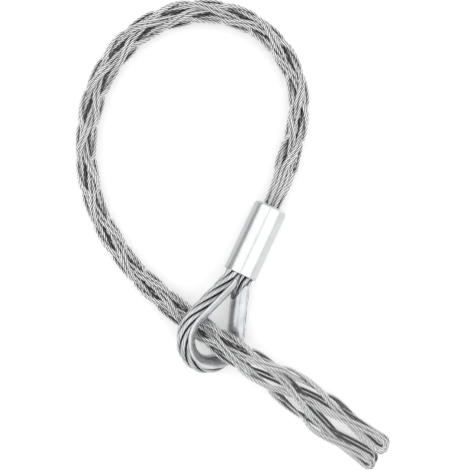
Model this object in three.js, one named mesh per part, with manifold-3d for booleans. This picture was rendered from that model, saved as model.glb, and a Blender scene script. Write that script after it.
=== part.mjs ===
// Cable pulling grip: a woven wire sock, a pressed aluminium ferrule and a thimble eye of steel wire rope.
// Millimetres, +Z up. The grip lies flat, bent round in one loop, as a slack grip comes to rest:
// the sock's tail runs under the upper leg of its own eye and over the lower leg.
// Modelled round the middle of the ferrule's sock end, then moved so that the origin is under the middle.
import * as THREE from 'three';
import Module from 'manifold-3d';
import { mergeVertices } from 'three/addons/utils/BufferGeometryUtils.js';

const wasm = await Module();
wasm.setup();

// Sock: wires laid up in pairs, half of the pairs winding each way round the tube
const wireDiameter = 1.6;
const wireGap = 0.23;
const crossingGap = 0.27;
const carriers = 4;
const wireSides = 6;
const hairpinSides = 5;
const rows = 24;
const firstRow = 9.7;
const legTouchGap = 0.21;
const tailGirthGain = 16;
const tailGirthLead = 6.9;
const tailGirthRun = 70;
const tailRowLag = 1.1;
const tailLossShare = 0.073;
const mouthReach = 6.5;
const braidAngle = 33.5;
const dwellShare = 0.25;
const stationShare = 0.35;
const fanLength = 15;
const headingReach = 0.5;

// Ferrule
const ferruleDiameter = 16;
const ferruleLength = 35;
const ferruleSockRounding = 1.6;
const ferruleEyeRounding = 0.25;
const legEndDepth = 17;
const endSpace = 2;
const boreClearance = 0.12;
const cutMargin = 1;
const ferruleSides = 24;
const sockBoreSides = 20;
const legBoreSides = 8;
const roundingSides = 3;

// Eye rope, six strands laid round a core strand
const strandDiameter = 2.35;
const strandCount = 6;
const strandGap = 0.19;
const strandLay = 58;
const strandSides = 6;
const strandStepCount = 27;
const coreStepCount = 24;
const legTouch = 0.1;
const exitBendRadius = 14;
const exitStraight = 0.8;

// Thimble, a grooved strip bent to a drop
const thimbleInnerRadius = 9.3;
const thimbleInnerLength = 38.3;
const thimbleCrotchDepth = 2.8;
const thimbleSheet = 1.2;
const thimbleClearance = 0.12;
const grooveHalfAngle = 88;
const grooveSides = 8;
const thimbleStepCount = 26;
const thimbleTipDepth = 3;
const thimbleBackDepth = 11;

// How it lies
const ferruleHeading = new THREE.Vector3(0.424, 0.906, 0);
const leanShare = 0.62;
const crossingClearance = 0.53;
const crossingLag = 11.8;
const crossingRun = 32;
const settleRun = 28;

// Sizes of the laid-out sock: how far its loop goes to the side and on from the ferrule's sock end,
// how far past the middle of the eye's round it crosses, and the straight length of its tail from there
const loopWidth = 97.6;
const loopReach = 73.6;
const crossingPastMiddle = 0.36;
const tailLength = 96.9;

// The sock's middle line in plan, from the ferrule's sock end to the tail, chosen by hand and stretched
// to the sizes above. Point number crossingIndex is where it crosses the eye.
const crossingIndex = 19;
const sockRoute = [
  [5.2, 12.2], [8.0, 22.5], [12.3, 39.0], [12.4, 55.7], [6.1, 71.4], [-5.3, 83.7], [-20.7, 90.7],
  [-37.5, 91.7], [-53.7, 87.1], [-67.5, 77.5], [-77.8, 64.0], [-84.2, 48.4], [-86.9, 31.7],
  [-86.1, 14.8], [-81.7, -1.6], [-74.0, -16.6], [-63.9, -30.1], [-51.9, -42.1], [-38.7, -52.8],
  [-24.9, -62.5], [-10.7, -71.8], [3.3, -81.3], [17.0, -91.3], [26.0, -98.5], [34.8, -105.0],
  [43.8, -111.6], [53.9, -118.9],
];

// How flat the sock is at places along the drawn route: its half width as a share of the round tube's radius
const flatness = [
  [0, 0.8], [18, 0.9], [34, 0.76], [46, 0.7], [80, 0.7], [100, 0.76], [116, 0.84], [130, 0.93],
  [160, 0.92], [190, 0.84], [206, 0.72], [230, 0.71], [243, 0.7], [260, 0.73], [280, 0.74],
  [300, 0.9], [330, 0.98], [348, 0.98], [366, 1.08], [382, 1.16], [394, 1.24], [404, 1.25], [424, 1.2],
];

const degrees = Math.PI / 180;

function material(color, roughness, metalness) {
  return new THREE.MeshStandardMaterial({ color, roughness, metalness });
}

const galvanised = material(0x9fa2a3, 0.45, 1);
const zincPlate = material(0xd9dbdc, 0.25, 1);
const pressedAluminium = material(0xdfe0e0, 0.35, 1);

const smooth = (value) => {
  const t = Math.min(Math.max(value, 0), 1);
  return t * t * (3 - 2 * t);
};

// Value at a place in a list of [place, value], eased between neighbours
function easedValue(list, place) {
  let next = list.findIndex(([at]) => at > place);
  if (next === -1) next = list.length - 1;
  next = Math.max(next, 1);
  const [from, low] = list[next - 1];
  const [to, high] = list[next];
  return low + (high - low) * smooth((place - from) / (to - from));
}

// Sizes that follow from the ones above
const wirePitch = wireDiameter + wireGap;
const layerRise = (wireDiameter + crossingGap) / 2;
const legCount = 4 * carriers;
const braidGirth = legCount * (wireDiameter + legTouchGap);
const legAngle = 2 * Math.PI / legCount;
const carrierAngle = 2 * Math.PI / carriers;
const bundleInner = wirePitch / 2 / Math.sin(legAngle);
const bundleStep = Math.sqrt(wirePitch ** 2 - (bundleInner * Math.sin(legAngle)) ** 2);
const bundleOuter = bundleInner * Math.cos(legAngle) + bundleStep;
const bundleBore = bundleOuter + wireDiameter / 2 + boreClearance;
const strandRing = strandDiameter + strandGap;
const ropeRadius = strandRing + strandDiameter / 2;
const legOffset = ropeRadius + legTouch / 2;
const grooveRadius = ropeRadius + thimbleClearance;
const thimbleReach = grooveRadius + thimbleSheet;
const eyeRadius = thimbleInnerRadius + thimbleReach;
const eyeDepth = thimbleCrotchDepth + thimbleInnerLength - thimbleInnerRadius;

const sockEndDepth = ferruleLength - legEndDepth - endSpace;
const sockBoreDepth = sockEndDepth + endSpace / 2;
const crossingDepth = eyeDepth + crossingPastMiddle;
const crossingLift = 2 * thimbleReach + crossingClearance;

// The sock passes under the eye's upper leg and over its lower one, and so props the eye at a lean
const sockHeightLoose = 2 * (braidGirth / (2 * Math.PI) + layerRise + wireDiameter / 2);
const legRise = sockHeightLoose + leanShare * thimbleReach;
const eyeRoll = Math.asin(legRise / (2 * eyeRadius)) / degrees;

// Ferrule and eye share one frame: Z up the ferrule, from the eye end to the sock end,
// and the eye in the XZ plane below it. The lower leg and the ferrule's sock end rest on the ground.
const lowEdgeAngle = Math.min(grooveHalfAngle - eyeRoll, 90);
const eyeRise = eyeRadius * Math.sin(eyeRoll * degrees) + thimbleReach * Math.sin(lowEdgeAngle * degrees);
const ferruleRise = ferruleDiameter / 2;
const tilt = Math.asin((eyeRise - ferruleRise) / (ferruleLength + eyeDepth));
const along = ferruleHeading.clone().normalize().multiplyScalar(Math.cos(tilt));
along.z = -Math.sin(tilt);
const sideways = new THREE.Vector3().crossVectors(along, new THREE.Vector3(0, 0, 1)).normalize();
const upright = new THREE.Vector3().crossVectors(sideways, along).normalize();
const eyeAcross = sideways.clone().multiplyScalar(Math.cos(eyeRoll * degrees))
  .addScaledVector(upright, -Math.sin(eyeRoll * degrees));
const eyeNormal = new THREE.Vector3().crossVectors(along, eyeAcross).normalize();

// The drawn route's points, moved so that the loop and the tail have their named sizes
function stretchedRoute() {
  const back = ferruleHeading.clone().normalize().negate();
  const side = new THREE.Vector3(-back.y, back.x, 0);
  const points = sockRoute.map(([x, y]) => new THREE.Vector3(x, y, 0));
  const crossing = points[crossingIndex];
  const onward = -Math.min(...points.map((point) => point.dot(back)));
  const sideward = -Math.min(...points.map((point) => point.dot(side)));
  const head = (ferruleLength + crossingDepth) / crossing.dot(back);
  const place = (point) => {
    const along = point.dot(back);
    const across = point.dot(side);
    const stretch = along < 0 ? loopReach / onward : head;
    const widen = across < 0 ? loopWidth / sideward : head;
    return back.clone().multiplyScalar(along * stretch).addScaledVector(side, across * widen);
  };
  const tail = tailLength / points[points.length - 1].distanceTo(crossing);
  return points.map((point, index) => {
    if (index <= crossingIndex) return place(point);
    return place(crossing).addScaledVector(point.clone().sub(crossing), tail);
  });
}

function curveThrough(points) {
  const curve = new THREE.CatmullRomCurve3([new THREE.Vector3(0, 0, 0), ...points]);
  curve.arcLengthDivisions = 2000;
  return curve;
}

// Sock middle line: straight along the ferrule's bore, then the stretched route
const ferruleEnd = new THREE.Vector3(0, 0, ferruleRise * Math.cos(tilt));
const drawnRoute = curveThrough(sockRoute.map(([x, y]) => new THREE.Vector3(x, y, 0)));
const route = curveThrough(stretchedRoute());
const routeLength = route.getLength();

// Length along the route at a share of its points
function lengthAt(share) {
  const lengths = route.getLengths();
  const place = share * (lengths.length - 1);
  const before = Math.floor(place);
  const after = Math.min(before + 1, lengths.length - 1);
  return lengths[before] + (lengths[after] - lengths[before]) * (place - before);
}

const drawnLength = drawnRoute.getLength();
const flatnessPlaces = flatness.map(([place, share]) => (
  [lengthAt(drawnRoute.getUtoTmapping(Math.min(place / drawnLength, 1))), share]
));
const crossingPlace = lengthAt((crossingIndex + 1) / sockRoute.length);
const crossingAt = crossingPlace + crossingLag;
const tailGirthStart = crossingPlace - tailGirthLead;
const tailRowStart = crossingPlace + tailRowLag;

const girthAt = (s) => braidGirth + tailGirthGain * smooth((s - tailGirthStart) / tailGirthRun);

// Half width and half height of the tube's middle surface, a flattened ring of the girth at that place
function ringAt(s) {
  const girth = girthAt(s);
  const halfWidth = easedValue(flatnessPlaces, s) * girth / (2 * Math.PI);
  const tall = halfWidth + (girth - 2 * Math.PI * halfWidth) / 4;
  const wide = (girth - 4 * halfWidth) / (2 * Math.PI - 4);
  return { girth, halfWidth, halfHeight: 2 * Math.PI * halfWidth <= girth ? tall : wide };
}

// Point and outward normal at an angle round a flattened ring, measured in equal lengths of its girth
function ringPoint(ring, angle) {
  const radius = Math.min(ring.halfWidth, ring.halfHeight);
  const flatX = ring.halfWidth - radius;
  const flatZ = ring.halfHeight - radius;
  const c = Math.cos(angle);
  const s = Math.sin(angle);
  const folded = Math.atan2(Math.abs(s), Math.abs(c));
  const length = folded / (2 * Math.PI) * ring.girth;
  const bend = Math.min(Math.max((length - flatZ) / radius, 0), Math.PI / 2);
  const before = Math.min(length, flatZ);
  const after = Math.max(length - flatZ - radius * Math.PI / 2, 0);
  const x = flatX + radius * Math.cos(bend) - after;
  const z = before + radius * Math.sin(bend);
  const signX = c < 0 ? -1 : 1;
  const signZ = s < 0 ? -1 : 1;
  return { x: signX * x, z: signZ * z, nx: signX * Math.cos(bend), nz: signZ * Math.sin(bend) };
}

function sockHeight(s) {
  const bore = ferruleEnd.z - s * Math.sin(tilt);
  if (s <= 0) return bore;
  const rest = ringAt(s).halfHeight + layerRise + wireDiameter / 2;
  const swing = Math.min(Math.abs(s - crossingAt) / crossingRun, 1);
  const lift = crossingLift * Math.cos(swing * Math.PI / 2) ** 2;
  return bore + (rest - bore) * smooth(s / settleRun) + lift;
}

function sockCentre(s) {
  if (s <= 0) return ferruleEnd.clone().addScaledVector(along, s);
  const point = route.getPointAt(Math.min(s / routeLength, 1));
  return new THREE.Vector3(point.x, point.y, sockHeight(s));
}

function sockFrame(s) {
  const centre = sockCentre(s);
  const place = Math.min(s, routeLength - headingReach);
  const forward = sockCentre(place + headingReach).sub(sockCentre(place - headingReach)).normalize();
  const right = new THREE.Vector3().crossVectors(forward, new THREE.Vector3(0, 0, 1)).normalize();
  const up = new THREE.Vector3().crossVectors(right, forward);
  return { centre, forward, right, up };
}

// Rows of crossings lie a pitch apart. Over the tail they stretch out,
// so that the braid ends half a row past the last one.
const braidEnd = routeLength - mouthReach;
const rowPitch = (braidEnd - firstRow) * (1 - tailLossShare) / (rows + 0.5);
const evenRows = (s) => (s - firstRow) / rowPitch;
const tailRun = braidEnd - tailRowStart;
const rowLoss = (evenRows(braidEnd) - rows - 0.5) / tailRun ** 2;

function placeOfRow(row) {
  const tailRow = evenRows(tailRowStart);
  if (row <= tailRow) return firstRow + row * rowPitch;
  const rate = 1 / rowPitch;
  return tailRowStart + (rate - Math.sqrt(rate ** 2 - 4 * rowLoss * (row - tailRow))) / (2 * rowLoss);
}

// One leg of a wire: carrier and side of its pair, winding one way or the other
function legPoint(leg, row, s, level) {
  const frame = sockFrame(s);
  const phase = row + dwellShare * Math.sin(2 * Math.PI * row) / (2 * Math.PI);
  const angle = braidAngle * degrees + leg.carrier * carrierAngle + leg.winding * phase * carrierAngle / 2;
  const ring = ringPoint(ringAt(s), angle);
  const shift = leg.side * wirePitch / 2;
  let x = ring.x + level * ring.nx - shift * ring.nz;
  let z = ring.z + level * ring.nz + shift * ring.nx;
  const fan = smooth(s / fanLength);
  if (fan < 1) {
    const spread = angle + leg.side * legAngle / 2;
    const radius = leg.side > 0 ? bundleOuter : bundleInner;
    x = radius * Math.cos(spread) * (1 - fan) + x * fan;
    z = radius * Math.sin(spread) * (1 - fan) + z * fan;
  }
  return frame.centre.clone().addScaledVector(frame.right, x).addScaledVector(frame.up, z);
}

// Corners of a leg from inside the ferrule to the tail, at the full height of the weave:
// two to a row, and three in the longer rows of the tail
function legPoints(leg) {
  const points = [-sockEndDepth, 0, fanLength].map((s) => legPoint(leg, 0.5, s, 0));
  for (let row = 1; row <= rows; row += 1) {
    const over = (row % 2 === 0) === (leg.winding > 0);
    const level = over ? layerRise : -layerRise;
    const shares = placeOfRow(row) > tailRowStart + rowPitch ? [-1, 0, 1] : [-1, 1];
    shares.forEach((share) => {
      const at = row + share * stationShare;
      points.push(legPoint(leg, at, placeOfRow(at), level));
    });
  }
  points.push(legPoint(leg, rows + 0.5, braidEnd, 0));
  return points;
}

// Path through given corners, one step to each
class CornerPath extends THREE.Curve {
  constructor(corners) {
    super();
    this.corners = corners;
  }

  getPoint(t, target = new THREE.Vector3()) {
    const place = t * (this.corners.length - 1);
    const first = Math.min(Math.floor(place + 1e-9), this.corners.length - 2);
    return target.lerpVectors(this.corners[first], this.corners[first + 1], place - first);
  }

  getPointAt(t, target) {
    return this.getPoint(t, target);
  }

  getTangent(t, target = new THREE.Vector3()) {
    const place = Math.round(t * (this.corners.length - 1));
    const before = this.corners[Math.max(place - 1, 0)];
    const after = this.corners[Math.min(place + 1, this.corners.length - 1)];
    return target.subVectors(after, before).normalize();
  }

  getTangentAt(t, target) {
    return this.getTangent(t, target);
  }
}

function roundSection(diameter, sides) {
  const section = new THREE.Shape();
  for (let side = 0; side < sides; side += 1) {
    const angle = side / sides * 2 * Math.PI;
    const x = diameter / 2 * Math.cos(angle);
    const y = diameter / 2 * Math.sin(angle);
    if (side === 0) section.moveTo(x, y);
    else section.lineTo(x, y);
  }
  section.closePath();
  return section;
}

function tubeThrough(corners, diameter, sides) {
  const extrudePath = new CornerPath(corners);
  const steps = corners.length - 1;
  const section = roundSection(diameter, sides);
  return new THREE.ExtrudeGeometry(section, { steps, bevelEnabled: false, extrudePath });
}

// A whole wire: down one leg, round a hairpin at the mouth and back up a leg of the other winding
function meshWire(carrier, side) {
  const down = { carrier, winding: 1, side };
  const back = { carrier: (carrier + rows) % carriers, winding: -1, side: -side };
  const out = legPoints(down);
  const home = legPoints(back).reverse();
  const middle = out[out.length - 1].clone().add(home[0]).multiplyScalar(0.5);
  const half = out[out.length - 1].clone().sub(middle);
  const { forward } = sockFrame(braidEnd);
  const bend = [];
  for (let turn = 1; turn < hairpinSides; turn += 1) {
    const angle = turn / hairpinSides * Math.PI;
    bend.push(middle.clone().addScaledVector(half, Math.cos(angle))
      .addScaledVector(forward, half.length() * Math.sin(angle)));
  }
  return tubeThrough([...out, ...bend, ...home], wireDiameter, wireSides);
}

// Eye path in its own plane: out of the bore, a bend, a straight leg, the round bottom, and the same back
const bendSum = eyeRadius + exitBendRadius;
const reach = Math.hypot(legOffset + exitBendRadius, eyeDepth - exitStraight);
const lean = Math.atan2(eyeDepth - exitStraight, legOffset + exitBendRadius) - Math.acos(bendSum / reach);
const bendEnd = {
  x: legOffset + exitBendRadius * (1 - Math.cos(lean)),
  depth: exitStraight + exitBendRadius * Math.sin(lean),
};
const roundStart = { x: eyeRadius * Math.cos(lean), depth: eyeDepth - eyeRadius * Math.sin(lean) };
const straight = Math.hypot(roundStart.x - bendEnd.x, roundStart.depth - bendEnd.depth);
const boreRun = legEndDepth + exitStraight;
const bendRun = exitBendRadius * lean;
const roundRun = eyeRadius * (Math.PI / 2 + lean);
const eyeHalfLength = boreRun + bendRun + straight + roundRun;

// Point and outward direction on the eye path, at a length from the end of the leg in the ferrule
function eyePoint(length) {
  const mirrored = length > eyeHalfLength;
  const run = mirrored ? 2 * eyeHalfLength - length : length;
  let x = legOffset;
  let depth = run - legEndDepth;
  let turned = 0;
  if (run > boreRun && run <= boreRun + bendRun) {
    turned = (run - boreRun) / exitBendRadius;
    x = legOffset + exitBendRadius * (1 - Math.cos(turned));
    depth = exitStraight + exitBendRadius * Math.sin(turned);
  } else if (run > boreRun + bendRun && run <= boreRun + bendRun + straight) {
    turned = lean;
    x = bendEnd.x + (run - boreRun - bendRun) * Math.sin(lean);
    depth = bendEnd.depth + (run - boreRun - bendRun) * Math.cos(lean);
  } else if (run > boreRun + bendRun + straight) {
    turned = lean - (run - boreRun - bendRun - straight) / eyeRadius;
    x = eyeRadius * Math.cos(turned);
    depth = eyeDepth - eyeRadius * Math.sin(turned);
  }
  const sign = mirrored ? 1 : -1;
  return {
    point: new THREE.Vector3(sign * x, 0, -depth),
    outward: new THREE.Vector3(sign * Math.cos(turned), 0, Math.sin(turned)),
  };
}

const acrossPlane = new THREE.Vector3(0, 1, 0);

function strand(start, ring, steps) {
  const corners = [];
  for (let step = 0; step <= steps; step += 1) {
    const length = step / steps * 2 * eyeHalfLength;
    const { point, outward } = eyePoint(length);
    const angle = start + length / strandLay * 2 * Math.PI;
    corners.push(point.addScaledVector(outward, ring * Math.cos(angle))
      .addScaledVector(acrossPlane, ring * Math.sin(angle)));
  }
  return tubeThrough(corners, strandDiameter, strandSides);
}

// Closed body through rings of points, each ring with the same count
function loft(rings) {
  const count = rings[0].length;
  const positions = [];
  const faces = [];
  rings.forEach((ring) => ring.forEach((point) => positions.push(point.x, point.y, point.z)));
  for (let step = 0; step < rings.length - 1; step += 1) {
    for (let place = 0; place < count; place += 1) {
      const a = step * count + place;
      const b = step * count + (place + 1) % count;
      faces.push(a, b, a + count, b, b + count, a + count);
    }
  }
  const last = (rings.length - 1) * count;
  const half = count / 2;
  for (let place = 0; place < half - 1; place += 1) {
    const opposite = count - 1 - place;
    faces.push(place, opposite, place + 1, opposite, opposite - 1, place + 1);
    faces.push(last + place, last + place + 1, last + opposite);
    faces.push(last + opposite, last + place + 1, last + opposite - 1);
  }
  const geometry = new THREE.BufferGeometry();
  geometry.setAttribute('position', new THREE.Float32BufferAttribute(positions, 3));
  geometry.setIndex(faces);
  return geometry;
}

// Thimble: the groove's two walls swept along the eye, with slanting ends.
// The flanges reach nearest the ferrule.
function thimbleShell() {
  const tipRun = (angle) => {
    const depth = thimbleTipDepth + (thimbleBackDepth - thimbleTipDepth) * Math.cos(angle) ** 2;
    return depth + legEndDepth;
  };
  const rings = [];
  for (let step = 0; step <= thimbleStepCount; step += 1) {
    const wall = (radius, place) => {
      const angle = (place / grooveSides * 2 - 1) * grooveHalfAngle * degrees;
      const tip = tipRun(Math.min(Math.abs(angle), Math.PI / 2));
      const length = tip + step / thimbleStepCount * 2 * (eyeHalfLength - tip);
      const { point, outward } = eyePoint(length);
      return point.addScaledVector(outward, -radius * Math.cos(angle))
        .addScaledVector(acrossPlane, radius * Math.sin(angle));
    };
    const ring = [];
    for (let place = 0; place <= grooveSides; place += 1) ring.push(wall(grooveRadius, place));
    for (let place = grooveSides; place >= 0; place -= 1) ring.push(wall(thimbleReach, place));
    rings.push(ring);
  }
  return loft(rings);
}

function solidOf(geometry) {
  const plain = geometry.clone();
  plain.deleteAttribute('normal');
  plain.deleteAttribute('uv');
  const merged = mergeVertices(plain, 1e-4);
  return new wasm.Manifold(new wasm.Mesh({
    numProp: 3,
    vertProperties: new Float32Array(merged.attributes.position.array),
    triVerts: new Uint32Array(merged.index.array),
  }));
}

function geometryOf(solid) {
  const mesh = solid.getMesh();
  const geometry = new THREE.BufferGeometry();
  geometry.setAttribute('position', new THREE.Float32BufferAttribute(mesh.vertProperties, 3));
  geometry.setIndex(Array.from(mesh.triVerts));
  return geometry;
}

// Ferrule: a turned sleeve, round bore for the sock's wires, long bore for the two rope legs side by side
function ferruleBody() {
  const radius = ferruleDiameter / 2;
  const profile = new THREE.Path();
  profile.moveTo(0, 0);
  profile.lineTo(radius - ferruleEyeRounding, 0);
  profile.absarc(radius - ferruleEyeRounding, ferruleEyeRounding,
    ferruleEyeRounding, -Math.PI / 2, 0, false);
  profile.lineTo(radius, ferruleLength - ferruleSockRounding);
  profile.absarc(radius - ferruleSockRounding, ferruleLength - ferruleSockRounding,
    ferruleSockRounding, 0, Math.PI / 2, false);
  profile.lineTo(0, ferruleLength);
  const points = profile.getPoints(roundingSides).filter((point, index, all) => (
    index === 0 || point.distanceTo(all[index - 1]) > 1e-6));
  points[0].x = 0;
  points[points.length - 1].x = 0;
  const body = new THREE.LatheGeometry(points, ferruleSides).rotateX(Math.PI / 2);
  const sockBoreLength = sockBoreDepth + cutMargin;
  const sockBore = new THREE.CylinderGeometry(bundleBore, bundleBore, sockBoreLength, sockBoreSides)
    .rotateX(Math.PI / 2)
    .translate(0, 0, ferruleLength - sockBoreDepth / 2 + cutMargin / 2);
  const slot = new THREE.Shape();
  const slotRadius = ropeRadius + boreClearance;
  slot.absarc(legOffset, 0, slotRadius, -Math.PI / 2, Math.PI / 2, false);
  slot.absarc(-legOffset, 0, slotRadius, Math.PI / 2, Math.PI * 3 / 2, false);
  const legBoreDepth = ferruleLength - sockBoreDepth;
  const legBore = new THREE.ExtrudeGeometry(slot, {
    depth: legBoreDepth + cutMargin, bevelEnabled: false, curveSegments: legBoreSides,
  }).translate(0, 0, -cutMargin);
  return geometryOf(solidOf(body).subtract(solidOf(sockBore)).subtract(solidOf(legBore)));
}

const grip = new THREE.Group();

function addPart(parent, name, geometry, finish) {
  const mesh = new THREE.Mesh(geometry, finish);
  mesh.name = name;
  parent.add(mesh);
}

const head = new THREE.Group();
head.quaternion.setFromRotationMatrix(new THREE.Matrix4().makeBasis(eyeAcross, eyeNormal, along));
head.position.copy(ferruleEnd).addScaledVector(along, -ferruleLength);
addPart(head, 'ferrule', ferruleBody(), pressedAluminium);
addPart(head, 'thimble', thimbleShell(), zincPlate);
addPart(head, 'eye_rope_core', strand(0, 0, coreStepCount), galvanised);
for (let index = 0; index < strandCount; index += 1) {
  const start = index / strandCount * 2 * Math.PI;
  addPart(head, `eye_rope_strand_${index + 1}`, strand(start, strandRing, strandStepCount), galvanised);
}
grip.add(head);

let wireNumber = 0;
for (let carrier = 0; carrier < carriers; carrier += 1) {
  [-1, 1].forEach((side) => {
    wireNumber += 1;
    addPart(grip, `mesh_wire_${wireNumber}`, meshWire(carrier, side), galvanised);
  });
}

// Origin under the middle of the grip as it lies
grip.updateMatrixWorld(true);
const extent = new THREE.Box3().setFromObject(grip, true);
const middle = extent.getCenter(new THREE.Vector3());
grip.position.set(-middle.x, -middle.y, -extent.min.z);

export default grip;
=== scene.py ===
import math

import bpy
import mathutils
import numpy as np
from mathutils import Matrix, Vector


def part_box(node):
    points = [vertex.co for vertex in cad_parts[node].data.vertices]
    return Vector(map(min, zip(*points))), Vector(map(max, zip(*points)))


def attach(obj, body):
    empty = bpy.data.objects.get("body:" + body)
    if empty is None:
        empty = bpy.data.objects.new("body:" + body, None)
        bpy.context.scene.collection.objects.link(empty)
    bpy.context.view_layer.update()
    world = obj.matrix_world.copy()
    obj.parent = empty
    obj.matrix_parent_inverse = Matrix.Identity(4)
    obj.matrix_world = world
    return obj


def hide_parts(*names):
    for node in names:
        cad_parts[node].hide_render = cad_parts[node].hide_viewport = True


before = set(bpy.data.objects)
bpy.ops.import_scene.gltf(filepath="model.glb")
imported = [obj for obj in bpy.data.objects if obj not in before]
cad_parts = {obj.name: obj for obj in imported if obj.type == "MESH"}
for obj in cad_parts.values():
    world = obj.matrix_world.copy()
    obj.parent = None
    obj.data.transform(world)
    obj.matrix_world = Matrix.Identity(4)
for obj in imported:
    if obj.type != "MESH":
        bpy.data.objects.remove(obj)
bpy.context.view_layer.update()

MM = 0.001

# Sock, in millimetres: fine wire ropes whose legs lie in pairs, with as many carriers of a pair winding
# each way
WIRE_DIAMETER = 1.6
WIRE_GAP = 0.23
CROSSING_GAP = 0.27
WINDINGS = 2
LEGS_IN_PAIR = 2
CARRIERS = 4
ROWS = 24
HALF_ROW = 0.5
FIRST_ROW = 9.7
LEG_TOUCH_GAP = 0.21
TAIL_GIRTH_GAIN = 16.0
TAIL_GIRTH_START = 322.03
TAIL_GIRTH_RUN = 70.0
TAIL_ROW_START = 330.03
TAIL_LOSS_SHARE = 0.073
BRAID_TURN = 33.5
PHASE_DWELL = 0.25
LEVEL_SHARPNESS = 2.6
FAN_LENGTH = 15.0
HEADING_REACH = 0.5
SOCK_END_DEPTH = 16.0
MOUTH_REACH = 6.5
# A fine rope of this size usually has six strands in this lay. They are too fine to show at the
# picture's size, so four are drawn
WIRE_STRANDS = 4
WIRE_LAY = 10.0
WIRE_VALLEY = 0.7

# Ferrule
FERRULE_DIAMETER = 16.0
FERRULE_LENGTH = 35.0
FERRULE_SOCK_ROUNDING = 1.6
FERRULE_EYE_ROUNDING = 0.25
LEG_END_DEPTH = 17.0
BORE_CLEARANCE = 0.12
SOCK_BORE_DEPTH = 17.0
BORE_WALL = 0.4
LONG_BORE_EDGE = 0.12
SOCK_BORE_EDGE = 0.25

# Seams of the press dies: their height, and in radians their width and place round the ferrule
SEAM_HEIGHT = 0.1
SEAM_WIDTH = 0.035
SEAM_TURN = 1.9

# Eye rope and thimble
STRAND_DIAMETER = 2.35
STRAND_COUNT = 6
STRAND_GAP = 0.19
STRAND_LAY = 58.0
STRAND_WIRES = 6
STRAND_WIRE_LAY = 22.0
LEG_TOUCH = 0.1
EXIT_BEND_RADIUS = 14.0
EXIT_STRAIGHT = 0.8
THIMBLE_INNER_RADIUS = 9.3
THIMBLE_INNER_LENGTH = 38.3
THIMBLE_CROTCH_DEPTH = 2.8
THIMBLE_SHEET = 1.2
THIMBLE_CLEARANCE = 0.12
GROOVE_HALF_ANGLE = 88.0
THIMBLE_TIP_DEPTH = 3.0
THIMBLE_BACK_DEPTH = 11.0

# How it lies
FERRULE_HEADING = np.array([0.424, 0.906, 0.0])
EYE_ROLL = 33.466
CROSSING_LIFT = 10.6
CROSSING_AT = 340.73
CROSSING_RUN = 32.0
SETTLE_RUN = 28.0

# How finely the meshes are divided: points on lines, lengths of step, and sides and steps of shapes. The
# shares are the rings on a bore's floor, by its radius, and in the bore, by its depth
ROUTE_SAMPLES = 2001
LEG_SAMPLES = 1400
HAIRPIN_SAMPLES = 26
EYE_SAMPLES = 700
WIRE_STEP = 0.62
STRAND_STEP = 0.6
CORE_STEP = 0.8
SMALL_STRAND_SIDES = 5
STRAND_SIDES = 28
WALL_POINTS = 25
RIM_POINTS = 5
THIMBLE_STEPS = 180
FERRULE_SIDES = 128
FERRULE_STEPS = 11
SOCK_ROUNDING_STEPS = 8
EYE_ROUNDING_STEPS = 3
FLOOR_SHARES = (0.02, 0.5, 1)
BORE_SHARES = (0.66, 0.33, 0.02)

# Patterns in the finishes, in millimetres: patches and clouds, grain, scratches and drawn lines. The last
# value scales the lines' noise down along the ferrule, so that it comes out as lines
WIRE_PATCH = 11.0
WIRE_GRAIN = 0.6
STRAND_PATCH = 9.0
PLATE_CLOUD = 6.0
PLATE_SCRATCH = 2.5
SLEEVE_CLOUD = 5.0
SLEEVE_LINE = 0.7
SLEEVE_LINE_STRETCH = 0.06

# Photograph: its width in pixels, pixels to a millimetre, and where the ferrule meets the sock in it. Then
# the height that is drawn at that scale, the lens and the sensor, in millimetres
PHOTO_SIZE = 470
PHOTO_SCALE = 2.125
FERRULE_END_PIXEL = (271.2, 206.8)
VIEW_HEIGHT = 7.0
LENS = 110
SENSOR = 36

# Floor and lights, in metres and watts for each square metre of a panel
FLOOR_HALF = 3.0
FLOOR_GLOW = 0.3
WORLD_STRENGTH = 0.8
PANEL_REACH = 0.9
PANEL_LENGTH = 1.4
PANEL_POWER = 2.2
PANEL_CENTRE = np.array([0.02, 0.03, 0.01])
PANEL_AIM = np.array([0, 0, 0.01])

# The sock's middle line in plan, as in the CAD source
SOCK_ROUTE = [
    (0.0, 0.0), (5.2, 12.2), (8.0, 22.5), (12.3, 39.0), (12.4, 55.7), (6.1, 71.4), (-5.3, 83.7),
    (-20.7, 90.7), (-37.5, 91.7), (-53.7, 87.1), (-67.5, 77.5), (-77.8, 64.0), (-84.2, 48.4),
    (-86.9, 31.7), (-86.1, 14.8), (-81.7, -1.6), (-74.0, -16.6), (-63.9, -30.1), (-51.9, -42.1),
    (-38.7, -52.8), (-24.9, -62.5), (-10.7, -71.8), (3.3, -81.3), (17.0, -91.3), (26.0, -98.5),
    (34.8, -105.0), (43.8, -111.6), (53.9, -118.9),
]

# Half width of the sock as a share of the round tube's radius, at places along it
FLATNESS = [
    (0, 0.8), (18, 0.9), (34, 0.76), (46, 0.7), (80, 0.7), (100, 0.76), (116, 0.84), (130, 0.93),
    (160, 0.92), (190, 0.84), (206, 0.72), (230, 0.71), (243, 0.7), (260, 0.73), (280, 0.74),
    (300, 0.9), (330, 0.98), (348, 0.98), (366, 1.08), (382, 1.16), (394, 1.24), (404, 1.25),
    (424, 1.2),
]


def smooth(value):
    """An ease from 0 to 1: three times the square less twice the cube."""
    t = np.clip(value, 0, 1)
    return t * t * (3 - 2 * t)


def eased_value(pairs, place):
    """Value at a place in a list of (place, value), eased between neighbours."""
    places, values = np.array(pairs, float).T
    place = np.atleast_1d(np.asarray(place, float))
    upper = np.clip(np.searchsorted(places, place, side="right"), 1, len(places) - 1)
    share = smooth((place - places[upper - 1]) / (places[upper] - places[upper - 1]))
    return values[upper - 1] + (values[upper] - values[upper - 1]) * share


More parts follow.
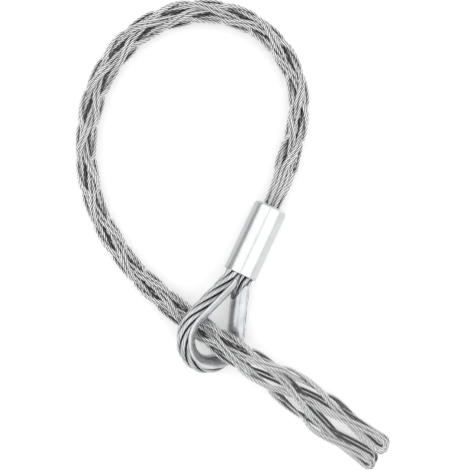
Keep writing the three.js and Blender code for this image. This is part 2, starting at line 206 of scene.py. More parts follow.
def unit(v):
    """A vector, or each vector of an array, divided by its length."""
    return v / np.linalg.norm(v, axis=-1, keepdims=True)


# Sizes that follow from the ones above
WIRE_PITCH = WIRE_DIAMETER + WIRE_GAP
SMALL_STRAND_RADIUS = WIRE_DIAMETER / 6
LAYER_RISE = (WIRE_DIAMETER + CROSSING_GAP) / 2
LEG_COUNT = WINDINGS * LEGS_IN_PAIR * CARRIERS
BRAID_GIRTH = LEG_COUNT * (WIRE_DIAMETER + LEG_TOUCH_GAP)
LEG_ANGLE = 2 * math.pi / LEG_COUNT
CARRIER_ANGLE = 2 * math.pi / CARRIERS
BUNDLE_INNER = WIRE_PITCH / 2 / math.sin(LEG_ANGLE)
BUNDLE_STEP = math.sqrt(WIRE_PITCH**2 - (BUNDLE_INNER * math.sin(LEG_ANGLE)) ** 2)
BUNDLE_OUTER = BUNDLE_INNER * math.cos(LEG_ANGLE) + BUNDLE_STEP
BUNDLE_BORE = BUNDLE_OUTER + WIRE_DIAMETER / 2 + BORE_CLEARANCE
STRAND_RING = STRAND_DIAMETER + STRAND_GAP
ROPE_RADIUS = STRAND_RING + STRAND_DIAMETER / 2
LEG_OFFSET = ROPE_RADIUS + LEG_TOUCH / 2
GROOVE_RADIUS = ROPE_RADIUS + THIMBLE_CLEARANCE
THIMBLE_REACH = GROOVE_RADIUS + THIMBLE_SHEET
EYE_RADIUS = THIMBLE_INNER_RADIUS + THIMBLE_REACH
EYE_DEPTH = THIMBLE_CROTCH_DEPTH + THIMBLE_INNER_LENGTH - THIMBLE_INNER_RADIUS

# Ferrule and eye share one frame: along the ferrule, across the eye, and square to the eye
ROLL = math.radians(EYE_ROLL)
LOW_EDGE = math.radians(min(GROOVE_HALF_ANGLE - EYE_ROLL, 90))
EYE_RISE = EYE_RADIUS * math.sin(ROLL) + THIMBLE_REACH * math.sin(LOW_EDGE)
TILT = math.asin((EYE_RISE - FERRULE_DIAMETER / 2) / (FERRULE_LENGTH + EYE_DEPTH))
UP = np.array([0.0, 0.0, 1.0])
ALONG = unit(FERRULE_HEADING) * math.cos(TILT) - UP * math.sin(TILT)
SIDEWAYS = unit(np.cross(ALONG, UP))
UPRIGHT = unit(np.cross(SIDEWAYS, ALONG))
EYE_ACROSS = SIDEWAYS * math.cos(ROLL) - UPRIGHT * math.sin(ROLL)
EYE_NORMAL = unit(np.cross(ALONG, EYE_ACROSS))
FERRULE_END = np.array([0, 0, FERRULE_DIAMETER / 2 * math.cos(TILT)])
EYE_END = FERRULE_END - ALONG * FERRULE_LENGTH


def route_point(share):
    """Centripetal Catmull-Rom through the route's points, with the end points mirrored out."""
    points = np.array(SOCK_ROUTE)
    points = np.vstack([2 * points[0] - points[1], points, 2 * points[-1] - points[-2]])
    last = len(SOCK_ROUTE) - 2
    place = np.asarray(share) * (last + 1)
    first = np.clip(np.floor(place).astype(int), 0, last)
    t = (place - first)[:, None]
    a, b, c, d = (points[first + k] for k in range(4))
    before, across, after = (np.sqrt(np.linalg.norm(q - p, axis=1))[:, None]
                             for p, q in ((a, b), (b, c), (c, d)))
    leave = ((b - a) / before - (c - a) / (before + across) + (c - b) / across) * across
    arrive = ((c - b) / across - (d - b) / (across + after) + (d - c) / after) * across
    return (b + leave * t + (3 * (c - b) - 2 * leave - arrive) * t**2
            + (2 * (b - c) + leave + arrive) * t**3)


ROUTE_SHARES = np.linspace(0, 1, ROUTE_SAMPLES)
ROUTE_POINTS = route_point(ROUTE_SHARES)
ROUTE_RUN = np.concatenate([[0], np.cumsum(np.linalg.norm(np.diff(ROUTE_POINTS, axis=0), axis=1))])
ROUTE_LENGTH = ROUTE_RUN[-1]
BRAID_END = ROUTE_LENGTH - MOUTH_REACH


def ring_at(s):
    """Girth, half width and half height of the sock's middle surface, a flattened ring: the width is a
    share of the round one's, and the height is what the girth then leaves."""
    girth = BRAID_GIRTH + TAIL_GIRTH_GAIN * smooth((s - TAIL_GIRTH_START) / TAIL_GIRTH_RUN)
    half_width = eased_value(FLATNESS, s) * girth / (2 * math.pi)
    tall = half_width + (girth - 2 * math.pi * half_width) / 4
    wide = (girth - 4 * half_width) / (2 * math.pi - 4)
    return girth, half_width, np.where(2 * math.pi * half_width <= girth, tall, wide)


def ring_point(ring, angle):
    """Point and normal on a flattened ring, two straights and two half circles, where an angle's share of
    a full turn is the same share of the girth."""
    girth, half_width, half_height = ring
    radius = np.minimum(half_width, half_height)
    flat_x = half_width - radius
    flat_z = half_height - radius
    c = np.cos(angle)
    s = np.sin(angle)
    length = np.arctan2(np.abs(s), np.abs(c)) / (2 * math.pi) * girth
    bend = np.clip((length - flat_z) / radius, 0, math.pi / 2)
    after = np.maximum(length - flat_z - radius * math.pi / 2, 0)
    x = flat_x + radius * np.cos(bend) - after
    z = np.minimum(length, flat_z) + radius * np.sin(bend)
    sign_x = np.where(c < 0, -1, 1)
    sign_z = np.where(s < 0, -1, 1)
    return sign_x * x, sign_z * z, sign_x * np.cos(bend), sign_z * np.sin(bend)


def sock_centre(s):
    """Middle line of the sock: straight in the ferrule, then the plan route, at the height at which the
    flattened sock lies on the table, plus a squared cosine over the eye."""
    s = np.asarray(s, float)
    share = np.interp(s, ROUTE_RUN, ROUTE_SHARES)
    plan = route_point(share)
    bore = FERRULE_END[2] - s * math.sin(TILT)
    rest = ring_at(s)[2] + LAYER_RISE + WIRE_DIAMETER / 2
    swing = np.minimum(np.abs(s - CROSSING_AT) / CROSSING_RUN, 1)
    lift = CROSSING_LIFT * np.cos(swing * math.pi / 2) ** 2
    height = bore + (rest - bore) * smooth(s / SETTLE_RUN) + lift
    laid = np.column_stack([plan, height])
    inside = FERRULE_END + s[:, None] * ALONG
    return np.where(s[:, None] <= 0, inside, laid)


def sock_frame(s):
    """Middle of the sock and its forward, right and up: forward joins the middles just before and after."""
    place = np.minimum(s, ROUTE_LENGTH - HEADING_REACH)
    forward = unit(sock_centre(place + HEADING_REACH) - sock_centre(place - HEADING_REACH))
    right = unit(np.cross(forward, UP))
    return sock_centre(s), forward, right, np.cross(right, forward)


ROW_PITCH = (BRAID_END - FIRST_ROW) * (1 - TAIL_LOSS_SHARE) / (ROWS + HALF_ROW)


def even_rows(s):
    """Rows of the weave up to a place on the sock, if all were as long as the first."""
    return (s - FIRST_ROW) / ROW_PITCH


TAIL_RUN = BRAID_END - TAIL_ROW_START
ROW_LOSS = (even_rows(BRAID_END) - ROWS - HALF_ROW) / TAIL_RUN**2


def leg_points(carrier, winding, side, s):
    """One leg of a wire. In each row it winds half a carrier's angle round the ring, and its level is a
    flattened cosine of the row: over one crossing and under the next. In the sleeve it joins the bundle."""
    row = even_rows(s) - ROW_LOSS * np.maximum(s - TAIL_ROW_START, 0) ** 2
    row = np.maximum(row, HALF_ROW)
    phase = row + PHASE_DWELL * np.sin(2 * math.pi * row) / (2 * math.pi)
    angle = math.radians(BRAID_TURN) + carrier * CARRIER_ANGLE + winding * phase * CARRIER_ANGLE / 2
    wave = np.tanh(LEVEL_SHARPNESS * np.cos(math.pi * row)) / math.tanh(LEVEL_SHARPNESS)
    level = winding * LAYER_RISE * wave
    ring_x, ring_z, normal_x, normal_z = ring_point(ring_at(s), angle)
    shift = side * WIRE_PITCH / 2
    x = ring_x + level * normal_x - shift * normal_z
    z = ring_z + level * normal_z + shift * normal_x
    fan = smooth(s / FAN_LENGTH)
    spread = angle + side * LEG_ANGLE / 2
    radius = BUNDLE_OUTER if side > 0 else BUNDLE_INNER
    x = radius * np.cos(spread) * (1 - fan) + x * fan
    z = radius * np.sin(spread) * (1 - fan) + z * fan
    centre, forward, right, up = sock_frame(s)
    points = centre + right * x[:, None] + up * z[:, None]
    outward = right * normal_x[:, None] + up * normal_z[:, None]
    return np.hstack([points, outward])


def evenly(points, step):
    """The same line with its points, and what is carried with them, an equal length apart."""
    run = np.concatenate([[0], np.cumsum(np.linalg.norm(np.diff(points[:, :3], axis=0), axis=1))])
    places = np.linspace(0, run[-1], max(int(run[-1] / step), 2) + 1)
    return np.column_stack([np.interp(places, run, column) for column in points.T]), places


def wire_line(carrier, side):
    """A wire: down one leg, round a half circle at the mouth, and back up a leg of the other winding."""
    s = np.linspace(-SOCK_END_DEPTH, BRAID_END, LEG_SAMPLES)
    out = leg_points(carrier, 1, side, s)
    home = leg_points((carrier + ROWS) % CARRIERS, -1, -side, s)[::-1]
    middle = (out[-1] + home[0]) / 2
    half = out[-1] - middle
    forward = sock_frame(np.array([BRAID_END]))[1][0]
    turn = np.linspace(0, math.pi, HAIRPIN_SAMPLES)[1:-1, None]
    bend = middle + half * np.cos(turn)
    bend[:, :3] += forward * np.linalg.norm(half[:3]) * np.sin(turn)
    return np.vstack([out, bend, home])


def turning_frames(points):
    """Tangents and a pair of cross directions that turn as little as they can: each normal is the one
    before it, less its part along the tangent."""
    tangent = unit(np.gradient(points, axis=0))
    normal = np.zeros_like(points)
    normal[0] = unit(np.cross(tangent[0], UP))
    for k in range(1, len(points)):
        carried = normal[k - 1] - tangent[k] * np.dot(normal[k - 1], tangent[k])
        normal[k] = carried / np.linalg.norm(carried)
    return tangent, normal, np.cross(tangent, normal)


def placed(name, data):
    """A new object in the scene that holds a mesh, a lamp or a camera."""
    thing = bpy.data.objects.new(name, data)
    bpy.context.collection.objects.link(thing)
    return thing


def new_piece(name, vertices, faces, uvs=None):
    """A mesh in metres from vertices in the part's millimetres, with a UV for each face corner if given."""
    mesh = bpy.data.meshes.new(name)
    mesh.from_pydata((vertices + SHIFT) * MM, [], faces)
    if uvs is not None:
        layer = mesh.uv_layers.new(name="along")
        layer.data.foreach_set("uv", uvs.ravel().astype(np.float32))
    mesh.polygons.foreach_set("use_smooth", np.ones(len(mesh.polygons), bool))
    mesh.update()
    return placed(name, mesh)


def grid_faces(rings, count):
    """Quads between neighbouring closed rings of the same count."""
    ring = np.arange(rings - 1)[:, None] * count
    place = np.arange(count)[None, :]
    after = (place + 1) % count
    quads = np.stack([ring + place, ring + after, ring + count + after, ring + count + place], -1)
    return quads.reshape(-1, 4)


def tube(name, line, step, radii, lay=math.inf):
    """A profile carried along a line and closed at both ends: a point of the line, plus the profile's radius
    in a cross direction that turns once in each lay. Its map gives the share of the way round and the
    millimetres along, and its attribute, facing, the cosine to the line's own outward direction."""
    stations, run = evenly(line, step)
    points = stations[:, :3]
    outward = unit(stations[:, 3:])
    tangent, normal, other = turning_frames(points)
    count = len(radii)
    around = np.arange(count) / count * 2 * math.pi
    angle = around[None, :] + (run / lay * 2 * math.pi)[:, None]
    across = normal[:, None, :] * np.cos(angle)[..., None] + other[:, None, :] * np.sin(angle)[..., None]
    vertices = points[:, None, :] + across * radii[None, :, None]
    quads = np.zeros((len(points) - 1, count, 4, 2))
    quads[..., 0] = (np.arange(count)[:, None] + np.array([0, 1, 1, 0])) / count
    quads[..., 1] = run[np.arange(len(points) - 1)[:, None] + np.array([0, 0, 1, 1])][:, None, :]
    uvs = np.concatenate([quads.reshape(-1, 2), np.zeros((2 * count, 2))])
    faces = grid_faces(len(points), count).tolist()
    last = (len(points) - 1) * count
    faces.append(list(range(count))[::-1])
    faces.append([last + k for k in range(count)])
    piece = new_piece(name, vertices.reshape(-1, 3), faces, uvs)
    facing = (across * outward[:, None, :]).sum(-1)
    layer = piece.data.attributes.new("facing", "FLOAT", "POINT")
    layer.data.foreach_set("value", facing.ravel().astype(np.float32))
    return piece


def fine_rope_profile():
    """Radii round the fine rope: the outline of its strands' circles, each a third of the rope across as in
    a rope of six, with the valleys between them filled to a share of the rope's radius."""
    ring = WIRE_DIAMETER / 2 - SMALL_STRAND_RADIUS
    away = (np.arange(WIRE_STRANDS * SMALL_STRAND_SIDES) % SMALL_STRAND_SIDES) / SMALL_STRAND_SIDES
    away = np.minimum(away, 1 - away) * 2 * math.pi / WIRE_STRANDS
    half_chord = np.sqrt(np.maximum(SMALL_STRAND_RADIUS**2 - (ring * np.sin(away)) ** 2, 0))
    return np.maximum(ring * np.cos(away) + half_chord, WIRE_VALLEY * WIRE_DIAMETER / 2)


def packed_shift(lines):
    """The part's move into the shared frame: the middles of its wires' packed boxes, less their lines'."""
    offsets = []
    for number, line in enumerate(lines, 1):
        low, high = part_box(f"mesh_wire_{number}")
        packed = (np.array(low) + np.array(high)) / 2 / MM
        offsets.append(packed - (line.min(0) + line.max(0))[:3] / 2)
    return np.mean(offsets, axis=0)


WIRE_LINES = [wire_line(carrier, side) for carrier in range(CARRIERS) for side in (-1, 1)]
SHIFT = packed_shift(WIRE_LINES)


# Materials
def linear(code):
    """Linear colour of an sRGB hex code."""
    parts = [int(code[k:k + 2], 16) / 255 for k in (1, 3, 5)]
    return [p / 12.92 if p <= 0.04045 else ((p + 0.055) / 1.055) ** 2.4 for p in parts] + [1.0]


def connect(node, sockets):
    """Sets each socket to a constant, or links it to an output or to another node's first output."""
    for socket, value in sockets.items():
        source = value.outputs[0] if isinstance(value, bpy.types.Node) else value
        if isinstance(source, bpy.types.NodeSocket):
            node.id_data.links.new(source, node.inputs[socket])
        else:
            node.inputs[socket].default_value = source


def add(tree, kind, sockets=(), stops=(), **settings):
    """Adds a node with its settings, its sockets' values and links, and its stops if it is a ramp. A stop
    is a place and either a linear colour or the level of a grey."""
    node = tree.nodes.new(kind)
    for name, value in settings.items():
        setattr(node, name, value)
    connect(node, dict(sockets))
    if stops:
        elements = node.color_ramp.elements
        while len(elements) < len(stops):
            elements.new(0.5)
        for element, (place, tone) in zip(elements, stops):
            element.position = place
            element.color = tone if isinstance(tone, list) else [tone, tone, tone, 1]
    return node


def new_material(name):
    """A new material, its node tree and its surface shader."""
    material = bpy.data.materials.new(name)
    material.use_nodes = True
    return material, material.node_tree, material.node_tree.nodes["Principled BSDF"]


# Names of the kinds of node that are used often, and the settings that multiply two colours
NOISE = "ShaderNodeTexNoise"
RAMP = "ShaderNodeValToRGB"
MATH = "ShaderNodeMath"
MIX = "ShaderNodeMix"
COLOUR_PRODUCT = {"data_type": "RGBA", "blend_type": "MULTIPLY"}


def galvanised_wire():
    """Galvanised fine rope: its small strands have bright crowns with painted shade in the valleys between
    them, and painted shade on the sides that look into the sock."""
    material, tree, shader = new_material("galvanised_fine_rope")
    place = add(tree, "ShaderNodeTexCoord").outputs["Object"]
    patches = add(tree, NOISE, {"Vector": place, "Scale": 1 / (WIRE_PATCH * MM), "Detail": 4})
    grain = add(tree, NOISE, {"Vector": place, "Scale": 1 / (WIRE_GRAIN * MM), "Detail": 2})
    zinc = add(tree, RAMP, {0: patches}, [(0.3, linear("#e6e7e7")), (0.7, linear("#f8f8f7"))])

    # From 0 on a strand's crown to 1 in the valley beside it, where the ramp paints shade
    rope_map = add(tree, "ShaderNodeUVMap", uv_map="along")
    around = add(tree, "ShaderNodeSeparateXYZ", {0: rope_map})
    lobes = add(tree, MATH, {0: around, 1: WIRE_STRANDS}, operation="MULTIPLY")
    to_crown = add(tree, MATH, {0: lobes, 1: 0.5}, operation="PINGPONG")
    valley = add(tree, MATH, {0: to_crown, 1: 2}, operation="MULTIPLY")
    shade = add(tree, RAMP, {0: valley}, [(0.46, 1), (0.72, 0.12), (0.9, 0.02)])
    shaded = add(tree, MIX, {0: 1, 6: zinc, 7: shade}, **COLOUR_PRODUCT).outputs[2]

    # From 0 where the rope looks into the sock to 1 where it looks out; the ramp paints shade on the inward
    # sides
    facing = add(tree, "ShaderNodeAttribute", attribute_name="facing").outputs["Fac"]
    share = add(tree, MATH, {0: facing, 1: 0.5, 2: 0.5}, operation="MULTIPLY_ADD")
    inside = add(tree, RAMP, {0: share}, [(0.12, 0.26), (0.45, 1)])
    colour = add(tree, MIX, {0: 1, 6: shaded, 7: inside}, **COLOUR_PRODUCT).outputs[2]

    rough = add(tree, RAMP, {0: grain}, [(0.3, 0.28), (0.75, 0.42)])
    bump = add(tree, "ShaderNodeBump", {"Height": grain, "Strength": 0.12, "Distance": 0.03 * MM})
    connect(shader, {"Base Color": colour, "Roughness": rough, "Metallic": 0.75, "Normal": bump})
    return material


def rope_steel():
    """Drawn galvanised strand of the eye rope: its wires slant along it with painted shade in the lines
    between them, and painted shade where it looks into the rope."""
    material, tree, shader = new_material("drawn_rope_strand")
    place = add(tree, "ShaderNodeTexCoord").outputs["Object"]
    patches = add(tree, NOISE, {"Vector": place, "Scale": 1 / (STRAND_PATCH * MM), "Detail": 3})
    zinc = add(tree, RAMP, {0: patches}, [(0.3, linear("#b4b6b7")), (0.7, linear("#d8d9da"))])

    # From 0 between two wires to 1 on a wire's crest; the ramp paints shade into the lines between wires
    rope_map = add(tree, "ShaderNodeUVMap", uv_map="along")
    around, along, _ = add(tree, "ShaderNodeSeparateXYZ", {0: rope_map}).outputs
    turns = add(tree, MATH, {0: along, 1: 1 / STRAND_WIRE_LAY, 2: around}, operation="MULTIPLY_ADD")
    angle = add(tree, MATH, {0: turns, 1: STRAND_WIRES * 2 * math.pi}, operation="MULTIPLY")
    wave = add(tree, MATH, {0: angle}, operation="SINE")
    crest = add(tree, MATH, {0: wave, 1: 0.5, 2: 0.5}, operation="MULTIPLY_ADD")
    shade = add(tree, RAMP, {0: crest}, [(0.04, 0.4), (0.3, 1)])
    shaded = add(tree, MIX, {0: 1, 6: zinc, 7: shade}, **COLOUR_PRODUCT).outputs[2]

    # From 0 where the strand looks into the rope to 1 where it looks out; the ramp paints shade on the
    # inward side
    facing = add(tree, "ShaderNodeAttribute", attribute_name="facing").outputs["Fac"]
    share = add(tree, MATH, {0: facing, 1: 0.5, 2: 0.5}, operation="MULTIPLY_ADD")
    between = add(tree, RAMP, {0: share}, [(0.5, 0.05), (0.74, 1)])
    colour = add(tree, MIX, {0: 1, 6: shaded, 7: between}, **COLOUR_PRODUCT).outputs[2]

    bump = add(tree, "ShaderNodeBump", {"Height": crest, "Strength": 0.35, "Distance": 0.12 * MM})
    connect(shader, {"Base Color": colour, "Roughness": 0.28, "Metallic": 0.85, "Normal": bump})
    return material


def zinc_plate():
    """Bright zinc plate on stamped steel: faint milky clouds, and fine scratches."""
    material, tree, shader = new_material("bright_zinc_plate")
    place = add(tree, "ShaderNodeTexCoord").outputs["Object"]
    clouds = add(tree, NOISE, {"Vector": place, "Scale": 1 / (PLATE_CLOUD * MM), "Detail": 4})
    scratch = add(tree, NOISE, {"Vector": place, "Scale": 1 / (PLATE_SCRATCH * MM), "Detail": 2})
    colour = add(tree, RAMP, {0: clouds}, [(0.3, linear("#b6b9bc")), (0.7, linear("#d3d5d7"))])
    rough = add(tree, RAMP, {0: clouds}, [(0.3, 0.2), (0.7, 0.32)])
    bump = add(tree, "ShaderNodeBump", {"Height": scratch, "Strength": 0.05, "Distance": 0.02 * MM})
    connect(shader, {"Base Color": colour, "Roughness": rough, "Metallic": 0.92, "Normal": bump})
    return material


def pressed_aluminium():
    """Satin aluminium from the press: fine lines along the sleeve, and painted shade on its left and right
    sides.
    """
    material, tree, shader = new_material("pressed_satin_aluminium")
    place = add(tree, "ShaderNodeTexCoord").outputs["Object"]
    clouds = add(tree, NOISE, {"Vector": place, "Scale": 1 / (SLEEVE_CLOUD * MM), "Detail": 3})
    bright = add(tree, RAMP, {0: clouds}, [(0.3, linear("#d4d6d7")), (0.7, linear("#dfe1e2"))])

    # Share of the way across the sleeve, from its left side to its right, for the painted shade on both
    # sides
    dot = add(tree, "ShaderNodeVectorMath", {0: place, 1: SIDEWAYS}, operation="DOT_PRODUCT")
    across = dot.outputs["Value"]
    width = FERRULE_DIAMETER * MM
    left = float(SIDEWAYS @ (FERRULE_END + SHIFT)) * MM - width / 2
    share = add(tree, MATH, {0: across, 1: 1 / width, 2: -left / width}, operation="MULTIPLY_ADD")
    sides = add(tree, RAMP, {0: share}, [(0.2, 0.7), (0.25, 1), (0.84, 1), (0.88, 0.8)])
    colour = add(tree, MIX, {0: 1, 6: bright, 7: sides}, **COLOUR_PRODUCT).outputs[2]

    heading = (0, 0, math.atan2(FERRULE_HEADING[0], FERRULE_HEADING[1]))
    stretch = (1, SLEEVE_LINE_STRETCH, 1)
    drawn = add(tree, "ShaderNodeMapping", {"Vector": place, "Rotation": heading, "Scale": stretch})
    lines = add(tree, NOISE, {"Vector": drawn, "Scale": 1 / (SLEEVE_LINE * MM), "Detail": 4})
    rough = add(tree, RAMP, {0: lines}, [(0.25, 0.2), (0.8, 0.3)])
    bump = add(tree, "ShaderNodeBump", {"Height": lines, "Strength": 0.12, "Distance": 0.05 * MM})
    connect(shader, {"Base Color": colour, "Roughness": rough, "Metallic": 0.9, "Normal": bump})
    return material


def dress(piece, material, node):
    """Gives a piece its finish and its slot, in place of the CAD node that it follows."""
    piece.data.materials.append(material)
    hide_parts(node)
    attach(piece, "root")


# Sock wires
WIRE = galvanised_wire()
WIRE_RADII = fine_rope_profile()
for number, line in enumerate(WIRE_LINES, 1):
    wire = tube(f"sock_wire_{number}", line, WIRE_STEP, WIRE_RADII, WIRE_LAY)
    dress(wire, WIRE, f"mesh_wire_{number}")

# Eye path in its own plane: out of the bore, a bend, a straight leg, and the round bottom
REACH = math.hypot(LEG_OFFSET + EXIT_BEND_RADIUS, EYE_DEPTH - EXIT_STRAIGHT)
LEAN = (math.atan2(EYE_DEPTH - EXIT_STRAIGHT, LEG_OFFSET + EXIT_BEND_RADIUS)
        - math.acos((EYE_RADIUS + EXIT_BEND_RADIUS) / REACH))
BEND_X = LEG_OFFSET + EXIT_BEND_RADIUS * (1 - math.cos(LEAN))
BEND_DEPTH = EXIT_STRAIGHT + EXIT_BEND_RADIUS * math.sin(LEAN)
STRAIGHT = math.hypot(EYE_RADIUS * math.cos(LEAN) - BEND_X,
                      EYE_DEPTH - EYE_RADIUS * math.sin(LEAN) - BEND_DEPTH)
BORE_RUN = LEG_END_DEPTH + EXIT_STRAIGHT
BEND_RUN = EXIT_BEND_RADIUS * LEAN
EYE_HALF_LENGTH = BORE_RUN + BEND_RUN + STRAIGHT + EYE_RADIUS * (math.pi / 2 + LEAN)


def eye_point(length):
    """Point and outward direction on the eye path, at a length from the leg's end in the ferrule: the bore's
    straight, a bend outwards, a straight leg and the round bottom, and the same back on the other side."""
    length = np.asarray(length, float)
    sign = np.where(length > EYE_HALF_LENGTH, 1.0, -1.0)
    run = np.where(length > EYE_HALF_LENGTH, 2 * EYE_HALF_LENGTH - length, length)
    on_bend = np.clip(run - BORE_RUN, 0, BEND_RUN)
    on_straight = np.clip(run - BORE_RUN - BEND_RUN, 0, STRAIGHT)
    on_round = np.maximum(run - BORE_RUN - BEND_RUN - STRAIGHT, 0)
    turned = on_bend / EXIT_BEND_RADIUS
    round_turn = LEAN - on_round / EYE_RADIUS
    x = LEG_OFFSET + EXIT_BEND_RADIUS * (1 - np.cos(turned)) + on_straight * math.sin(LEAN)
    depth = (np.minimum(run, BORE_RUN) - LEG_END_DEPTH + EXIT_BEND_RADIUS * np.sin(turned)
             + on_straight * math.cos(LEAN))
    rounding = on_round > 0
    x = np.where(rounding, EYE_RADIUS * np.cos(round_turn), x)
    depth = np.where(rounding, EYE_DEPTH - EYE_RADIUS * np.sin(round_turn), depth)
    facing = np.where(rounding, round_turn, turned)
    point = sign[..., None] * x[..., None] * EYE_ACROSS - depth[..., None] * ALONG + EYE_END
    outward = (sign * np.cos(facing))[..., None] * EYE_ACROSS + np.sin(facing)[..., None] * ALONG
    return point, outward


def strand_line(start, ring):
    """A strand: the eye path, plus a ring's radius in a direction that turns once in each lay."""
    length = np.linspace(0, 2 * EYE_HALF_LENGTH, EYE_SAMPLES)
    point, outward = eye_point(length)
    angle = (start + length / STRAND_LAY * 2 * math.pi)[:, None]
    away = np.cos(angle) * outward + np.sin(angle) * EYE_NORMAL
    return np.hstack([point + ring * away, away])


ROPE = rope_steel()
ROUND = np.full(STRAND_SIDES, STRAND_DIAMETER / 2)
core = tube("eye_core", strand_line(0, 0), CORE_STEP, ROUND)
dress(core, ROPE, "eye_rope_core")
for index in range(STRAND_COUNT):
    start = index / STRAND_COUNT * 2 * math.pi
    strand = tube(f"eye_strand_{index + 1}", strand_line(start, STRAND_RING), STRAND_STEP, ROUND)
    dress(strand, ROPE, f"eye_rope_strand_{index + 1}")


def thimble_section(count, rim_count):
    """Angle and radius round the groove's section: groove wall, rounded rim, back wall, rounded rim."""
    half = math.radians(GROOVE_HALF_ANGLE)
    middle = (GROOVE_RADIUS + THIMBLE_REACH) / 2
    rim = THIMBLE_SHEET / 2
    inner = np.linspace(-half, half, count)
    turn = np.linspace(0, math.pi, rim_count + 2)[1:-1]
    angle = np.concatenate([inner, half + rim / middle * np.sin(turn), inner[::-1],
                            -half - rim / middle * np.sin(turn)])
    radius = np.concatenate([np.full(count, GROOVE_RADIUS), middle - rim * np.cos(turn),
                             np.full(count, THIMBLE_REACH), middle + rim * np.cos(turn)])
    return angle, radius


def sheet_caps(wall, rim, last):
    """Faces that close both ends of the bent sheet: strips from groove wall to back wall, and the rims."""
    back = 2 * wall + rim - 1
    caps = [[k + 1, k, back - k, back - k - 1] for k in range(wall - 1)]
    caps.append(list(range(wall + rim, wall - 2, -1)))
    caps.append([0, *range(2 * (wall + rim) - 1, back - 1, -1)])
    return caps + [[last + k for k in reversed(face)] for face in caps]


def thimble_piece():
    """The groove's section swept along the eye. Its ends are cut at a slant, by the squared cosine of the
    angle, so that the rims reach nearer the ferrule than the groove's floor does."""
    angle, radius = thimble_section(WALL_POINTS, RIM_POINTS)
    cover = np.cos(np.minimum(np.abs(angle), math.pi / 2)) ** 2
    tip = THIMBLE_TIP_DEPTH + (THIMBLE_BACK_DEPTH - THIMBLE_TIP_DEPTH) * cover + LEG_END_DEPTH
    share = np.linspace(0, 1, THIMBLE_STEPS + 1)[:, None]
    point, outward = eye_point(tip + share * 2 * (EYE_HALF_LENGTH - tip))
    vertices = (point - outward * (radius * np.cos(angle))[None, :, None]
                + EYE_NORMAL * (radius * np.sin(angle))[None, :, None])
    faces = grid_faces(THIMBLE_STEPS + 1, len(angle)).tolist()
    faces += sheet_caps(WALL_POINTS, RIM_POINTS, THIMBLE_STEPS * len(angle))
    return new_piece("thimble_shell", vertices.reshape(-1, 3), faces)


thimble = thimble_piece()
dress(thimble, zinc_plate(), "thimble")


def ferrule_piece():
    """A turned sleeve, as rings round its axis: from the long bore's floor out, along the outside with a
    quarter circle at each end, and in to the round bore's floor. The long bore is two round ones that run
    into each other, and the seams are two bell curves on the outside."""
    around = np.arange(FERRULE_SIDES) / FERRULE_SIDES * 2 * math.pi
    bore_radius = ROPE_RADIUS + BORE_CLEARANCE
    half_chord = np.sqrt(np.maximum(bore_radius**2 - (LEG_OFFSET * np.sin(around)) ** 2, 0))
    long_bore = LEG_OFFSET * np.abs(np.cos(around)) + half_chord
    round_bore = np.full(FERRULE_SIDES, BUNDLE_BORE)
    seam = SEAM_HEIGHT * np.exp(-((np.cos(around - SEAM_TURN) / SEAM_WIDTH) ** 2))
    outer = FERRULE_DIAMETER / 2 + seam
    depth = FERRULE_LENGTH - SOCK_BORE_DEPTH - BORE_WALL
    rings = [(long_bore * share, depth) for share in FLOOR_SHARES]
    rings += [(long_bore, depth * share) for share in BORE_SHARES]
    rings.append((long_bore + LONG_BORE_EDGE, 0))
    for turn in np.linspace(-math.pi / 2, 0, EYE_ROUNDING_STEPS + 1):
        height = FERRULE_EYE_ROUNDING * (1 + math.sin(turn))
        rings.append((outer - FERRULE_EYE_ROUNDING * (1 - math.cos(turn)), height))
    rings += [(outer, FERRULE_LENGTH * step / FERRULE_STEPS) for step in range(1, FERRULE_STEPS)]
    for turn in np.linspace(0, math.pi / 2, SOCK_ROUNDING_STEPS + 1):
        height = FERRULE_LENGTH - FERRULE_SOCK_ROUNDING * (1 - math.sin(turn))
        rings.append((outer - FERRULE_SOCK_ROUNDING * (1 - math.cos(turn)), height))
    rings.append((round_bore + SOCK_BORE_EDGE, FERRULE_LENGTH))
    rings.append((round_bore, FERRULE_LENGTH - SOCK_BORE_EDGE))
    rings.append((round_bore, FERRULE_LENGTH - SOCK_BORE_DEPTH))
    rings.append((round_bore * FLOOR_SHARES[0], FERRULE_LENGTH - SOCK_BORE_DEPTH))
    radius = np.array([ring for ring, _ in rings])[..., None]
    height = np.array([height for _, height in rings])[:, None, None]
    spoke = np.cos(around)[:, None] * EYE_ACROSS + np.sin(around)[:, None] * EYE_NORMAL
    vertices = EYE_END + radius * spoke + height * ALONG
    faces = grid_faces(len(rings), FERRULE_SIDES).tolist()
    last = (len(rings) - 1) * FERRULE_SIDES
    faces.append(list(range(FERRULE_SIDES))[::-1])
    faces.append([last + k for k in range(FERRULE_SIDES)])
    return new_piece("pressed_sleeve", vertices.reshape(-1, 3), faces)


sleeve = ferrule_piece()
dress(sleeve, pressed_aluminium(), "ferrule")


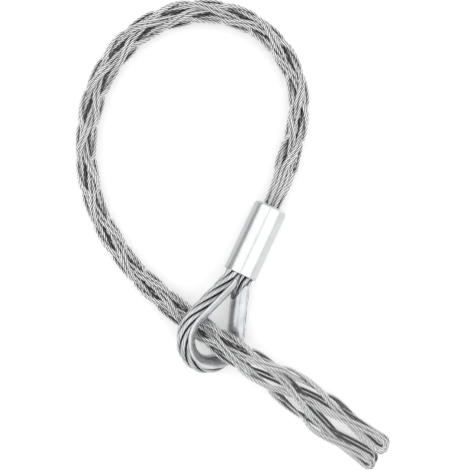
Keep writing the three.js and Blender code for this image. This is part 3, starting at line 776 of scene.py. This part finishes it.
# Floor, light and camera
def floor():
    """A white paper sheet under the part, which takes its shadow and glows to white for the camera."""
    mesh = bpy.data.meshes.new("floor")
    corners = [(x * FLOOR_HALF, y * FLOOR_HALF, 0) for x, y in ((-1, -1), (1, -1), (1, 1), (-1, 1))]
    mesh.from_pydata(corners, [], [(0, 1, 2, 3)])
    material, tree, shader = new_material("white_paper_floor")
    mesh.materials.append(material)
    seen = add(tree, "ShaderNodeLightPath").outputs
    plain = seen["Is Camera Ray"]
    for ray in ("Is Glossy Ray", "Is Transmission Ray"):
        plain = add(tree, MATH, {0: plain, 1: seen[ray]}, operation="MAXIMUM").outputs[0]
    glow = add(tree, MATH, {0: plain, 1: FLOOR_GLOW}, operation="MULTIPLY")
    connect(shader, {"Base Color": (0.8, 0.8, 0.8, 1), "Roughness": 0.9})
    connect(shader, {"Emission Color": (1, 1, 1, 1), "Emission Strength": glow})
    placed("floor", mesh)


def panel(name, lean, half_angle):
    """A soft panel along the ferrule, leaning from straight above it to one side. Both angles are in
    degrees, and the second is half of what the panel fills, seen from the ferrule."""
    side = np.array([FERRULE_HEADING[1], -FERRULE_HEADING[0], 0])
    rise = side * math.sin(math.radians(lean)) + UP * math.cos(math.radians(lean))
    place = rise * PANEL_REACH + PANEL_CENTRE
    away = unit(place - PANEL_AIM)
    across = unit(np.cross(unit(FERRULE_HEADING), away))
    width = 2 * PANEL_REACH * math.tan(math.radians(half_angle))
    lamp = bpy.data.lights.new(name, "AREA")
    lamp.shape = "RECTANGLE"
    lamp.size = width
    lamp.size_y = PANEL_LENGTH
    lamp.energy = PANEL_POWER * width * PANEL_LENGTH
    light = placed(name, lamp)
    light.location = place
    light.rotation_euler = mathutils.Matrix((across, np.cross(away, across), away)).transposed().to_euler()


floor()
world = bpy.data.worlds.new("studio")
bpy.context.scene.world = world
world.use_nodes = True
connect(world.node_tree.nodes["Background"], {"Color": (1, 1, 1, 1), "Strength": WORLD_STRENGTH})
panel("left_panel", -35, 29)
panel("right_panel", 38, 34)

# The camera looks straight down, and what is VIEW_HEIGHT above the floor is at the photograph's scale
camera = bpy.data.cameras.new("camera")
camera.lens = LENS
camera.sensor_width = SENSOR
offset = np.array([PHOTO_SIZE / 2 - FERRULE_END_PIXEL[0], FERRULE_END_PIXEL[1] - PHOTO_SIZE / 2])
centre = offset / PHOTO_SCALE + SHIFT[:2]
distance = PHOTO_SIZE / PHOTO_SCALE * LENS / SENSOR
viewpoint = placed("camera", camera)
viewpoint.location = (centre[0] * MM, centre[1] * MM, (distance + VIEW_HEIGHT) * MM)
bpy.context.scene.camera = viewpoint
bpy.context.scene.view_settings.view_transform = "Standard"
